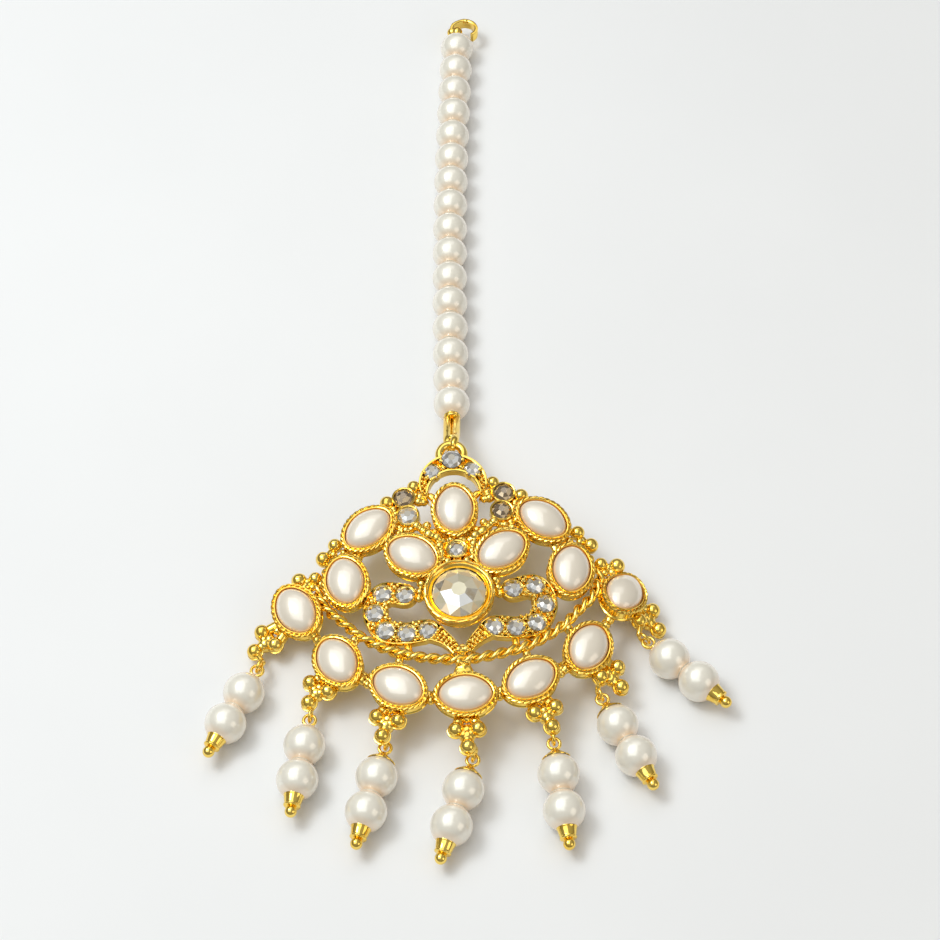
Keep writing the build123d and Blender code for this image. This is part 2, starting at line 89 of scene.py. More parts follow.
Spot = namedtuple("Spot", "across up radius")
paisley_tail = [Spot(3.0, -6.6, 1.2), Spot(1.7, -7.8, 0.9), Spot(0.75, -9.2, 0.75)]
swag = [(0.0, -10.3), (4.5, -9.8), (8.9, -8.6), (12.0, -7.0), (14.6, -5.1),
        (16.8, -2.8), (19.0, -0.4), (20.3, 2.2), (20.4, 4.2)]
swag_height = 1.3
edge_balls = [
    Spot(5.8, 18.6, 1.0), Spot(9.8, 16.25, 1.1), Spot(17.7, 10.1, 1.05), Spot(19.45, 8.05, 1.15),
    Spot(20.7, 5.0, 1.0), Spot(23.1, 5.0, 1.2)]
ball_height = 1.55

Link = namedtuple("Link", "across1 up1 across2 up2")
paired_links = [Link(*row) for row in (
    (0.0, 13.8, 6.35, 6.55),    # top cup to inner cup
    (0.0, 7.35, 6.35, 6.55), (0.0, 0.0, 6.35, 6.55),    # small stone and bezel to inner cup
    (0.0, 0.0, 7.7, 0.45),    # bezel to paisley head
    (6.8, 13.55, 3.6, 10.4), (3.6, 10.4, 0.0, 7.35),    # smoky stones to the small stone
    (6.8, 13.55, 6.35, 6.55),
    (5.8, 18.6, 4.0, 18.6), (5.8, 18.6, 7.3, 16.65),    # crescent to smoky stones
    (7.3, 16.65, 12.6, 11.7), (6.8, 13.55, 12.6, 11.7), (6.35, 6.55, 12.6, 11.7),
    (12.6, 11.7, 16.1, 3.4), (12.15, -2.1, 16.1, 3.4),    # upper cup and paisley to middle cup
    (16.1, 3.4, 19.45, 8.05), (19.45, 8.05, 17.7, 10.1), (17.7, 10.1, 12.6, 11.7),
    (16.1, 3.4, 20.7, 5.0), (20.7, 5.0, 23.1, 5.0), (23.1, 5.0, 23.4, -0.2),
    (16.1, 3.4, 23.4, -0.2), (23.4, -0.2, 17.6, -9.3), (17.6, -9.3, 9.15, -14.4),
    (0.1, -16.3, 9.15, -14.4),
    (17.6, -9.3, 14.6, -5.1), (9.15, -14.4, 8.9, -8.6),    # swag to the lower cups
    (10.7, -5.1, 12.0, -7.0), (7.7, -5.8, 7.6, -9.0))]    # paisley to swag
centre_links = [Link(*row) for row in (
    (0.0, 13.8, 0.0, 7.35), (0.0, 7.35, 0.0, 0.0), (0.0, -8.9, 0.0, -16.3),
    (-3.4, 17.0, 0.0, 13.8), (3.4, 17.0, 0.0, 13.8))]
link_radius, link_height, link_flat, link_bow = 0.6, 1.2, 0.75, 0.15
web_height, web_flat = 1.05, 0.3
web_bars = [                            # flat tapered webs: their middle lines and half widths
    ([(0.0, -8.3), (0.0, -9.6), (0.0, -11.2), (0.0, -12.6), (0.0, -13.6)],
     [0.7, 0.85, 1.1, 1.7, 2.2]),
    ([(0.0, 10.4), (0.0, 9.2), (0.0, 8.0)], [2.0, 2.3, 2.0]),
    ([(-1.6, 6.4), (0.0, 5.9), (1.6, 6.4)], [1.0, 1.0, 1.0]),
]

Grain = namedtuple("Grain", "across up height radius")
grains = [Grain(*row) for row in (    # cast beads in the gaps, right-hand side
    # from the lower smoky stone down to the small stone
    (5.6, 11.8, 1.75, 0.78), (4.75, 11.0, 1.7, 0.65), (4.1, 11.9, 1.5, 0.65),
    (3.9, 10.2, 1.7, 0.94), (3.0, 10.6, 1.6, 0.65), (2.75, 9.5, 1.8, 0.86), (3.6, 9.2, 1.3, 0.65),
    (1.9, 8.95, 1.5, 0.65), (2.45, 8.2, 1.65, 0.78), (2.2, 7.1, 1.5, 0.72), (2.3, 6.1, 1.35, 0.78),
    (1.4, 5.6, 1.4, 0.78), (0.75, 9.3, 1.4, 0.65),
    # from the crescent's horn to the smoky stones
    (4.9, 16.9, 1.55, 0.65), (5.6, 17.2, 1.35, 0.59), (5.2, 16.0, 1.5, 0.72),
    (4.4, 15.9, 1.4, 0.59), (6.7, 18.0, 1.3, 0.59),
    # from the smoky stones to the upper cup
    (8.9, 15.1, 1.5, 0.65), (8.6, 14.2, 1.5, 0.62), (9.6, 14.9, 1.4, 0.59), (8.5, 13.2, 1.4, 0.59),
    (9.0, 12.3, 1.3, 0.65), (8.1, 11.9, 1.4, 0.59), (7.2, 11.35, 1.5, 0.65), (8.3, 11.0, 1.4, 0.55),
    (6.4, 11.5, 1.4, 0.59),
    # round the bezel
    (3.6, 4.9, 1.3, 0.91), (5.3, 2.3, 1.3, 0.78), (5.6, 0.9, 1.5, 0.65), (5.8, -0.1, 1.3, 0.59),
    # from the upper cup to the middle one
    (15.6, 9.3, 1.5, 0.65), (16.4, 8.7, 1.5, 0.62), (14.7, 8.1, 1.3, 0.65), (18.0, 8.7, 1.3, 0.65),
    (18.6, 6.6, 1.3, 0.65), (19.3, 5.9, 1.4, 0.59),
    # round the far cup
    (21.9, 4.7, 1.4, 0.65), (21.2, 3.7, 1.4, 0.62), (22.4, 3.9, 1.4, 0.55), (20.5, 1.6, 1.3, 0.65),
    (21.3, -4.0, 1.3, 0.78), (20.7, -5.0, 1.4, 0.65), (20.2, -5.9, 1.3, 0.65),
    # between the swag and the lower cups, and beside the swag's middle
    (15.3, -5.7, 1.3, 0.65), (14.3, -12.3, 1.4, 0.72), (13.6, -13.0, 1.3, 0.65),
    (13.1, -11.9, 1.3, 0.65), (9.0, -9.9, 1.3, 0.65), (4.8, -16.5, 1.4, 0.65),
    (5.0, -15.5, 1.3, 0.65), (0.6, -10.7, 1.3, 0.65), (0.5, -8.9, 1.6, 0.65))]

Trio = namedtuple("Trio", "across up heading cap")
trios = [                               # outer ball of the three, the way they point, a cap or none
    Trio(-29.9, -5.3, -141, False),
    Trio(-22.0, -14.8, -125, False),
    Trio(-11.75, -21.3, -108, True),
    Trio(0.0, -24.0, -90, True),
    Trio(11.75, -21.3, -72, True),
    Trio(22.0, -14.8, -55, True),
    Trio(28.8, -4.6, -47, False),
]
trio_spacing, trio_ball = 3.1, 1.14
eye_radius, eye_wire, pin_wire, pin_neck = 0.85, 0.238, 0.28, 0.1
loop_radius, loop_wire = 0.95, 0.255
drop_pearl_radius, drop_pearl_half, bead_gap = 2.95, 2.7, 0.06    # half is along the bore
cap_reach = 3.35
string_pearl_radius, string_pearl_half, string_count = 2.8, 2.55, 16
ring_up, ring_height, ring_radius, ring_wire = 24.35, 0.7, 1.8, 0.66

SIGNS = {"left": -1, "right": 1}
UP = Vector((0, 0, 1))
medallion_pose = (Matrix.Translation((stone_x, stone_y, stone_z))
                  @ Matrix.Rotation(radians(medallion_tilt), 4, "X")
                  @ Matrix.Rotation(radians(medallion_roll), 4, "Y"))


# -------- places on the medallion
def wing(across):
    """x, z and slope of the medallion's back at a distance across, by adding up its bend."""
    side = "right" if across >= 0 else "left"
    steps = 40
    x = z = slope = 0.0
    for step in range(steps):
        run = (step + 0.5) / steps * abs(across)
        kink = min(max((run - wing_kink_start) / wing_kink_length, 0), 1)
        slope = run / bend_radius[side] + radians(wing_kink[side]) * kink
        x += cos(slope) * abs(across) / steps
        z -= sin(slope) * abs(across) / steps
    return SIGNS[side] * x, z, SIGNS[side] * slope


def seat(across, up, height=0.0, turn=0.0):
    """Matrix of the plane that touches the medallion there, x turned from across to up."""
    x, z, slope = wing(across)
    tangent = Vector((cos(slope), 0, -sin(slope)))
    normal = Vector((sin(slope), 0, cos(slope)))
    long_way = tangent * cos(radians(turn)) + Vector((0, 1, 0)) * sin(radians(turn))
    origin = Vector((x, up, z)) + normal * height
    return medallion_pose @ axes(origin, long_way, normal)


def axes(origin, x_way, z_way):
    """Matrix at an origin with the given x and z directions."""
    z_way = Vector(z_way).normalized()
    y_way = z_way.cross(Vector(x_way)).normalized()
    x_way = y_way.cross(z_way)
    return Matrix.Translation(origin) @ Matrix((x_way, y_way, z_way)).transposed().to_4x4()


def on(across, up, height):
    """A point on the medallion."""
    return seat(across, up, height).translation


def normal_at(across):
    return seat(across, 0).col[2].to_3d()


def both_sides(rows):
    """The rows and their mirror images."""
    return rows + [row._replace(across=-row.across) for row in rows]


# -------- forms
def circle(angle, distance):
    return distance * cos(angle), distance * sin(angle)


def ring_of(place, sides, distance, height=0.0, outline=circle):
    """Points round a place's z axis, at a distance and a height."""
    return [place @ Vector((*outline(tau * k / sides, distance), height)) for k in range(sides)]


class Form:
    """Points and faces of one piece, with a finish for each face and a tone for each point."""

    def __init__(self):
        self.points, self.faces, self.finishes, self.tones = [], [], [], []

    def add(self, points, tone=0.0):
        start = len(self.points)
        self.points += points
        self.tones += [tone] * len(points)
        return range(start, start + len(points))

    def face(self, corners, finish=0):
        self.faces.append(tuple(corners))
        self.finishes.append(finish)

    def grid(self, rows, along=False, tones=None):
        """Quads between closed rows of points; along: the last row meets the first."""
        tones = tones or [0.0] * len(rows)
        indices = [self.add(row, tone) for row, tone in zip(rows, tones)]
        count = len(rows[0])
        pairs = list(zip(indices, indices[1:])) + ([(indices[-1], indices[0])] if along else [])
        for low, high in pairs:
            for k in range(count):
                after = (k + 1) % count
                self.face((low[k], low[after], high[after], high[k]))
        return indices

    def fan(self, ring, tip, finish=0):
        """Triangles from a ring to a point."""
        end = self.add([tip])[0]
        for k, corner in enumerate(ring):
            self.face((corner, ring[(k + 1) % len(ring)], end), finish)

    def stack(self, rows, along=False, tones=None):
        """A grid that is closed off at both ends unless it meets itself."""
        indices = self.grid(rows, along, tones)
        if not along:
            self.face(reversed(indices[0]))
            self.face(indices[-1])

    def ball(self, centre, radius, way=UP, rings=16, sides=28):
        """A ball with its poles along way."""
        place = axes(centre, way.orthogonal(), way)
        indices = self.grid([ring_of(place, sides, radius * sin(pi * ring / rings),
                                     -radius * cos(pi * ring / rings)) for ring in range(1, rings)])
        self.fan(indices[0], place @ Vector((0, 0, -radius)))
        self.fan(indices[-1][::-1], place @ Vector((0, 0, radius)))

    def turned(self, place, profile, sides, outline=circle, tones=None):
        """A profile of (distance, height) carried round an outline, with flat ends."""
        self.stack([ring_of(place, sides, *spot, outline) for spot in profile], tones=tones)

    def tube(self, path, radius, up, sides, closed=False, flat=1.0):
        """A bar along a path with rounded ends; radius is a number or one for each point; flat
        squashes it along up."""
        radii = radius if isinstance(radius, list) else [radius] * len(path)
        turns = [tau * k / sides for k in range(sides)]
        rows = [[point + (away * cos(turn) + lift * flat * sin(turn)) * thick for turn in turns]
                for (point, away, lift), thick in zip(frames(path, up, closed), radii)]
        if not closed:
            rows = (self.round_end(rows, path, radii, 0)[::-1] + rows
                    + self.round_end(rows, path, radii, -1))
        self.stack(rows, along=closed)

    @staticmethod
    def round_end(rows, path, radii, end):
        """Two shrinking rows beyond an end."""
        beyond = (path[end] - path[1 if end == 0 else -2]).normalized()
        centre = path[end]
        return [[centre + (point - centre) * cos(angle) + beyond * radii[end] * sin(angle)
                 for point in rows[end]] for angle in (0.6, 1.15)]

    def rope(self, path, up, radius, length, sides, steps, thin, strands=2, closed=False):
        """Strands twisted round an evenly spaced path; length is one strand's full turn, steps the
        points on it, and thin a strand's share of the rope's radius."""
        whole = sum((b - a).length for a, b in zip(path, path[1:])) + (
            (path[0] - path[-1]).length if closed else 0)
        turns = max(1, round(whole / length * strands) / strands)
        turns = round(turns) if closed else turns
        count = int(turns * steps)
        spread = radius * (1 - thin)
        centre = evenly(path, count, closed)
        lifts = evenly(up, count, closed, path) if isinstance(up, list) else up
        for strand in range(strands):
            wound = []
            for k, (point, away, lift) in enumerate(frames(centre, lifts, closed)):
                angle = tau * (k / (count if closed else count - 1) * turns + strand / strands)
                wound.append(point + (away * cos(angle) + lift * sin(angle)) * spread)
            self.tube(wound, radius * thin, lifts, sides, closed=closed)


def frames(path, up, closed=False):
    """Each point of a path, its way to the side and its way up; up is one direction or a list."""
    for k, point in enumerate(path):
        before = path[k - 1] if closed or k else path[0]
        after = path[(k + 1) % len(path)] if closed or k < len(path) - 1 else path[-1]
        forward = (after - before).normalized()
        away = forward.cross(up[k] if isinstance(up, list) else up).normalized()
        yield point, away, away.cross(forward)


def oval(angle, margin):
    """A cabochon's outline, slightly pointed at its ends, widened by a margin."""
    narrow = 1 - cabochon_point * cos(angle) ** 2
    return (cabochon_long + margin) * cos(angle), (cabochon_wide + margin) * sin(angle) * narrow


def evenly(values, count, closed=False, path=None):
    """Values resampled at even distances along a path, which is the values themselves by default."""
    path = path or values
    ends = path + [path[0]] if closed else path
    shown = values + [values[0]] if closed else values
    reach = [0.0]
    for a, b in zip(ends, ends[1:]):
        reach.append(reach[-1] + (b - a).length)
    result, span = [], 0
    for k in range(count):
        wanted = reach[-1] * k / (count if closed else count - 1)
        while span < len(reach) - 2 and reach[span + 1] < wanted:
            span += 1
        share = (wanted - reach[span]) / max(reach[span + 1] - reach[span], 1e-9)
        result.append(shown[span].lerp(shown[span + 1], share))
    return result


def curved(points, per_span=8):
    """A smooth line through points of any number of coordinates, with that many steps a span."""
    points = [Vector(p) for p in points]
    whole = [2 * points[0] - points[1]] + points + [2 * points[-1] - points[-2]]
    line = []
    for a, b, c, d in zip(whole, whole[1:], whole[2:], whole[3:]):
        for step in range(per_span):
            t = step / per_span
            line.append(0.5 * (2 * b + (c - a) * t + (2 * a - 5 * b + 4 * c - d) * t * t
                               + (3 * b - a - 3 * c + d) * t ** 3))
    return line + [points[-1]]


# -------- materials
def new_material(name, **values):
    """A node material with these values on its shader."""
    material = bpy.data.materials.new(name)
    material.use_nodes = True
    shader = material.node_tree.nodes["Principled BSDF"]
    for key, value in values.items():
        shader.inputs[key.replace("_", " ")].default_value = value
    return material, shader


def noise(tree, per_mm, detail):
    """Noise in the object's own space, with its features at a number for each millimetre."""
    place = tree.nodes.new("ShaderNodeTexCoord")
    texture = tree.nodes.new("ShaderNodeTexNoise")
    texture.inputs["Scale"].default_value = per_mm / MM
    texture.inputs["Detail"].default_value = detail
    tree.links.new(place.outputs["Object"], texture.inputs["Vector"])
    return texture.outputs["Fac"]


def ramp(source, socket, *stops):
    """A colour ramp from a source to a socket; each stop is a position and a colour or a grey."""
    tree = source.id_data
    node = tree.nodes.new("ShaderNodeValToRGB")
    elements = node.color_ramp.elements
    while len(elements) < len(stops):
        elements.new(1.0)
    for element, (position, colour) in zip(elements, stops):
        element.position = position
        element.color = (*colour, 1) if isinstance(colour, tuple) else (colour, colour, colour, 1)
    tree.links.new(source, node.inputs["Fac"])
    tree.links.new(node.outputs["Color"], socket)


def vary(socket, per_mm, *stops, detail=3.0):
    """A socket led by a colour ramp on noise."""
    ramp(noise(socket.id_data, per_mm, detail), socket, *stops)


def bump(shader, per_mm, depth, detail=3.0):
    """Dents of a depth in mm, from noise."""
    tree = shader.id_data
    node = tree.nodes.new("ShaderNodeBump")
    node.inputs["Distance"].default_value = depth * MM
    tree.links.new(noise(tree, per_mm, detail), node.inputs["Height"])
    tree.links.new(node.outputs["Normal"], shader.inputs["Normal"])


def gold(name):
    """Polished cast gold plate: a little colour drift, uneven polish and shallow dents."""
    material, shader = new_material(name, Metallic=1.0)
    vary(shader.inputs["Base Color"], 0.5, (0.35, (0.96, 0.64, 0.11)), (0.65, (0.98, 0.72, 0.18)))
    vary(shader.inputs["Roughness"], 1.6, (0.3, 0.03), (0.7, 0.10))
    bump(shader, 1.3, 0.024)
    return material


def nacre(name, heart, rim):
    """Imitation pearl: a creamy body that warms towards the rim, partly the nacre's own warmth and
    partly painted warm bounce light and shade; pearly lustre, a glossy coat.
    """
    material, shader = new_material(
        name, Metallic=0.15, Roughness=0.32, Coat_Weight=1.0, Coat_Roughness=0.1, Coat_IOR=1.9,
        IOR=1.6, Sheen_Weight=0.3, Sheen_Roughness=0.35, Sheen_Tint=(1.0, 0.70, 0.48, 1))
    nodes, links = material.node_tree.nodes, material.node_tree.links
    tone = nodes.new("ShaderNodeAttribute")
    tone.attribute_name = "tone"
    cloud = nodes.new("ShaderNodeMix")
    cloud.data_type = "RGBA"
    cloud.blend_type = "MULTIPLY"
    cloud.inputs["Factor"].default_value = 0.35
    # the rim colour, led by the point tone, is partly painted warm bounce light and shade
    ramp(tone.outputs["Fac"], cloud.inputs["A"], (0.0, heart), (0.25, heart), (0.8, rim))
    vary(cloud.inputs["B"], 0.35, (0.3, (0.93, 0.90, 0.88)), (0.7, 1.0), detail=4.0)
    links.new(cloud.outputs["Result"], shader.inputs["Base Color"])
    bump(shader, 0.5, 0.012, detail=2.0)
    return material


def glass(name, colour, mirror, clear):
    """The cut glass crown of a foiled stone: its facets mirror, let through and scatter light."""
    material, shader = new_material(
        name, Roughness=0.03, IOR=1.54, Transmission_Weight=clear, Metallic=mirror, Coat_Weight=1.0,
        Coat_Roughness=0.01)
    vary(shader.inputs["Base Color"], 0.3, (0.3, colour),
         (0.7, tuple(min(1.0, c * 1.03) for c in colour)))
    return material


def facet(name, colour):
    """One face of a foiled stone with a painted highlight, painted shade or painted reflection in its
    colour.
    """
    material, shader = new_material(
        name, Metallic=0.35, Roughness=0.12, Coat_Weight=1.0, Coat_Roughness=0.01)
    vary(shader.inputs["Base Color"], 0.6, (0.3, tuple(0.88 * c for c in colour)),
         (0.7, colour))
    return material


def foil(name, colour, worn):
    """The mirror foil behind a stone, dulled in places."""
    material, shader = new_material(name, Metallic=1.0)
    vary(shader.inputs["Base Color"], 0.8, (0.3, worn), (0.55, colour))
    vary(shader.inputs["Roughness"], 1.3, (0.35, 0.05), (0.75, 0.25))
    return material


bright_gold = gold("bright_gold")
# rim colours: partly the nacre's own warmth, partly painted warm bounce light and shade
cabochon_nacre = nacre("cabochon_nacre", (0.86, 0.78, 0.65), (0.94, 0.62, 0.38))
pearl_nacre = nacre("pearl_nacre", (0.89, 0.85, 0.74), (0.96, 0.70, 0.45))
clear_glass = glass("clear_glass", (0.92, 0.92, 0.91), 0.45, 0.5)
champagne_glass = glass("champagne_glass", (0.97, 0.88, 0.66), 0.5, 0.2)
smoky_glass = glass("smoky_glass", (0.36, 0.26, 0.15), 0.3, 0.6)
# facet colours are painted light: white a painted highlight, grey and olive painted shade, amber a
# painted reflection
painted_highlight_facet = facet("painted_highlight_facet", (0.95, 0.96, 0.96))
painted_shade_facet = facet("painted_shade_facet", (0.38, 0.34, 0.27))
painted_shade_olive_facet = facet("painted_shade_olive_facet", (0.66, 0.60, 0.42))
amber_foil_and_painted_reflection = facet("amber_foil_and_painted_reflection", (0.80, 0.62, 0.38))
silver_foil = foil("silver_foil", (0.93, 0.92, 0.91), (0.70, 0.68, 0.64))
champagne_foil = foil("champagne_foil", (0.93, 0.87, 0.75), (0.80, 0.66, 0.45))
amber_foil = foil("amber_foil", (0.62, 0.50, 0.36), (0.30, 0.21, 0.13))


# -------- pieces
def piece(name, form, materials=(bright_gold,), stands_for=(), crease=38.0,
          shade_flat=False):
    """A form as an object that rides on the jewel's body and replaces the nodes it stands for."""
    mesh = bpy.data.meshes.new(name)
    mesh.from_pydata([point * MM for point in form.points], [], form.faces)
    mesh.validate()
    tone = mesh.attributes.new("tone", "FLOAT", "POINT")
    tone.data.foreach_set("value", form.tones)
    for material in materials:
        mesh.materials.append(material)
    mesh.polygons.foreach_set("material_index", form.finishes)
    mesh.polygons.foreach_set("use_smooth", [not shade_flat] * len(mesh.polygons))
    if not shade_flat:
        mesh.set_sharp_from_angle(angle=radians(crease))
    thing = bpy.data.objects.new(name, mesh)
    scene.collection.objects.link(thing)
    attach(thing, "root")
    if stands_for:
        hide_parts(*stands_for)
    return thing


def melt(thing):
    """A piece's overlapping solids merged into one softened skin, as a casting is."""
    merge = thing.modifiers.new("merge", "REMESH")
    merge.mode, merge.voxel_size = "VOXEL", 0.13 * MM
    soften = thing.modifiers.new("soften", "SMOOTH")
    soften.factor, soften.iterations = 0.5, 3
    shown = thing.evaluated_get(bpy.context.evaluated_depsgraph_get())
    mesh = bpy.data.meshes.new_from_object(shown)
    thing.modifiers.clear()
    thing.data = mesh
    mesh.polygons.foreach_set("use_smooth", [True] * len(mesh.polygons))


# ---- cups and cabochons
cup_wall_profile = [(0.3, 0.85), (0.62, 0.85), (0.7, 0.94), (0.68, 1.06), (0.54, 1.16), (0.47, 1.3),
                    (0.47, 2.3), (0.38, 2.55), (0.3, 2.72), (0.27, 2.9), (0.2, 2.98), (0.11, 2.96),
                    (0.06, 2.86), (0.03, 2.65), (0.03, 1.1)]
cup_rope_margin, cup_rope_height, cup_rope_radius, cup_rope_turn = 0.51, 2.56, 0.32, 2.5
cabochon_sides, cabochon_levels = 64, 16


def cup_seat(cup):
    """The plane of a cup's back, leaning where the casting is bent there."""
    lean = Matrix.Rotation(radians(-cup_lean.get(cup.name, 0.0)), 4, "X")
    turn = Matrix.Rotation(radians(cup.turn), 4, "Z")
    return seat(cup.across, cup.up, lean_pivot) @ lean @ turn @ Matrix.Translation((0, 0, -lean_pivot))


def make_cup(name, place):
    """Wall with a bright base edge, smooth lip, and the twisted rope round it."""
    form = Form()
    form.turned(place, cup_wall_profile, 72, oval)
    ring = ring_of(place, 120, cup_rope_margin, cup_rope_height, oval)
    form.rope(ring, place.col[2].to_3d(), cup_rope_radius, cup_rope_turn, sides=7, steps=14, thin=0.45,
              strands=3, closed=True)
    piece(f"cup_{name}", form)


def make_cabochon(name, place):
    """A domed oval; its tone rises from the top to the girdle, giving its lower sides the warm rim
    colour, partly painted warm bounce light and shade.
    """
    form = Form()
    rows = [ring_of(place, cabochon_sides, margin, height, oval) for margin, height in (
        (-0.05, cabochon_foot), (0.0, cabochon_foot + 0.1), (0.0, cabochon_girdle - 0.1))]
    tones = [1.0] * len(rows)
    for level in range(cabochon_levels):
        angle = pi / 2 * level / cabochon_levels
        width, rise = cos(angle), sin(angle)
        narrowed = place @ Matrix.Diagonal((width, width, 1, 1))
        height = cabochon_girdle + (cabochon_top - cabochon_girdle) * rise
        rows.append(ring_of(narrowed, cabochon_sides, 0.0, height, oval))
        # more warm rim colour lower down: partly painted warm bounce light and shade
        tones.append(max(0.0, 1 - rise * 1.25))
    indices = form.grid(rows, tones=tones)
    form.fan(indices[-1], place @ Vector((0, 0, cabochon_top)))
    form.face(reversed(indices[0]))
    piece(f"cabochon_{name}_dome", form, [cabochon_nacre], [f"cabochon_{name}"], crease=60)


cups = list(centre_cups)
for side, sign in SIGNS.items():
    cups += [Cup(f"{c.name}_{side}", sign * c.across, c.up, sign * c.turn) for c in paired_cups]
for cup in cups:
    make_cup(cup.name, cup_seat(cup))
    make_cabochon(cup.name, cup_seat(cup))


# ---- cut stones
# A tier of facets ends at a share of the stone's radius and of the rise from girdle to table.  The
# facets name which of the stone's materials the faces of each tier take in turn, and then the table;
# the white, grey, olive and amber facet materials among them are painted highlights, shade and
# reflections.
Cut = namedtuple("Cut", "girdle table foot tiers facets")
small_cut = Cut(1.95, 2.65, 1.75, [(0.74, 0.55), (0.36, 1.0)], [
    (0, 2, 1, 3, 0, 1, 2), (0, 1, 2, 1, 3, 0, 3, 3), (2,)])
big_cut = Cut(2.2, 3.5, 1.7, [(0.70, 0.55), (0.29, 1.0)], [
    (2, 0, 2, 1, 0, 2, 4, 0), (0, 4, 0, 2, 3, 3, 3, 1), (4,)])
foil_material, girdle_half = 1, 0.06
stone_turn, turn_each_mm = 11, 3    # degrees, so that no two stones lie the same way


def cut_stone(form, place, radius, cut, sides=8):
    """Girdle band, tiers of facets up to the table, and a shallow foiled cone below."""
    def shade(number, k):
        return cut.facets[number][k % len(cut.facets[number])]

    rim, inner = form.grid([ring_of(place, 2 * sides, radius, cut.girdle + shift)
                            for shift in (-girdle_half, girdle_half)])
    for number, (ratio, rise) in enumerate(cut.tiers):
        height = cut.girdle + (cut.table - cut.girdle) * rise
        ring = form.add(ring_of(place, sides, radius * ratio, height))
        for k in range(sides):
            after = (k + 1) % sides
            if number:
                form.face((inner[k], inner[after], ring[after], ring[k]), shade(number, k))
            else:
                form.face((inner[2 * k - 1], inner[2 * k], ring[k]), shade(0, 3 * k))
                form.face((inner[2 * k], inner[2 * k + 1], ring[k]), shade(0, 3 * k + 1))
                form.face((inner[2 * k + 1], ring[after], ring[k]), shade(0, 3 * k + 2))
        inner = ring
    form.face(inner, cut.facets[-1][0])
    form.fan(rim[::-1], place @ Vector((0, 0, cut.foot)), foil_material)


def stones(name, rows, nodes, materials):
    """Small stones of one colour as a piece."""
    form = Form()
    for stone in rows:
        raised = crest_rise if stone == crest_stone else 0.0
        place = seat(stone.across, stone.up, raised, stone_turn + turn_each_mm * stone.across)
        cut_stone(form, place, stone.radius, small_cut)
    piece(name, form, materials, nodes, shade_flat=True)


# the facet materials here paint highlights, shade and reflections into the stones; in the pale smoky
# stone the amber one is also the foil under it
clear = [clear_glass, silver_foil, painted_shade_facet, painted_highlight_facet]
smoky = [smoky_glass, amber_foil, smoky_glass, amber_foil_and_painted_reflection]
pale = [clear_glass, amber_foil_and_painted_reflection, painted_shade_facet, painted_highlight_facet]
pale_smoky = smoky_stones[1]._replace(across=-smoky_stones[1].across)
dark_smoky = [stone for stone in both_sides(smoky_stones) if stone != pale_smoky]
stones("crescent_brilliants", horn_stones + [crest_stone, small_stone], ["crescent_stones"], clear)
stones("smoky_brilliants", dark_smoky, ["smoky_stones"], smoky)
stones("smoky_brilliant_pale", [pale_smoky], (), pale)
for side, sign in SIGNS.items():
    mirrored = [stone._replace(across=sign * stone.across) for stone in paisley_stones]
    stones(f"paisley_brilliants_{side}", mirrored, [f"paisley_stones_{side}"], clear)
big_form = Form()
cut_stone(big_form, seat(0, 0), big_stone.radius, big_cut)
# its amber, white and olive facets are painted reflection, painted highlight and painted shade
piece("centre_brilliant", big_form,
      [champagne_glass, champagne_foil, amber_foil_and_painted_reflection, painted_highlight_facet, painted_shade_olive_facet],
      ["centre_stone"], shade_flat=True)


# ---- collars of the round stones and the big bezel
def collar(form, stone, height=2.15, wall=0.34, foot=0.85):
    """A thin round wall with a rolled top edge."""
    r = stone.radius
    form.turned(seat(stone.across, stone.up), [
        (r + wall - 0.05, foot), (r + wall, foot + 0.1), (r + wall - 0.05, height - 0.25),
        (r + wall - 0.03, height), (r + wall * 0.55, height + 0.08), (r + 0.06, height + 0.03),
        (r + 0.02, height - 0.12), (r + 0.02, 0.8)], sides=32)


bezel_profile = [
    (4.6, 0.85), (4.98, 0.85), (5.04, 0.96), (4.98, 1.1), (4.84, 1.18), (4.8, 2.3), (4.86, 2.46),
    (4.98, 2.56), (5.03, 2.7), (4.98, 2.82), (4.88, 2.84), (4.8, 2.74), (4.74, 2.52), (4.68, 2.5),
    (4.62, 2.62), (4.56, 2.68), (4.48, 2.64), (4.38, 2.52), (4.14, 2.2), (4.1, 2.3), (4.07, 2.42),
    (4.01, 2.46), (3.95, 2.4), (3.93, 2.2), (3.93, 0.9)]
bezel_rope_reach, bezel_rope_height, bezel_rope_radius, bezel_rope_turn = 4.92, 2.74, 0.2, 4.0
bezel = Form()
bezel.turned(seat(0, 0), bezel_profile, sides=96)
bezel.rope(ring_of(seat(0, 0), 160, bezel_rope_reach, bezel_rope_height), normal_at(0),
           bezel_rope_radius, bezel_rope_turn, sides=7, steps=20, thin=0.6, closed=True)
piece("bezel", bezel)

collars = Form()
for row in both_sides(smoky_stones) + [small_stone]:
    collar(collars, row)
collar(collars, crest_stone, height=2.3, wall=0.16)
piece("stone_collars", collars)


# ---- ribbons: the crescent and the two paisleys
channel_foot, sunk_floor, stipple_floor = 0.85, 0.95, 1.6


def channel(form, left, right, floors, edge, top):
    """A cast strip between two edge lines, with raised edges and a sunk floor between them."""
    rows = []
    for a, b, floor in zip(left, right, floors):
        width = (b - a).length
        way = (b - a) / max(width, 1e-6)
        lip = min(edge, width * 0.3)
        section = [(0, channel_foot), (0, top - 0.16), (lip * 0.25, top - 0.03), (lip * 0.6, top),
                   (lip * 0.95, top - 0.06), (lip * 1.1, min(top - 0.2, floor + 0.2)),
                   (lip * 1.15, floor)]
        half = [(a + way * d, h) for d, h in section]
        other = [(b - way * d, h) for d, h in reversed(section)]
        rows.append([on(p.x, p.y, h) for p, h in half + other])
    form.stack(rows)


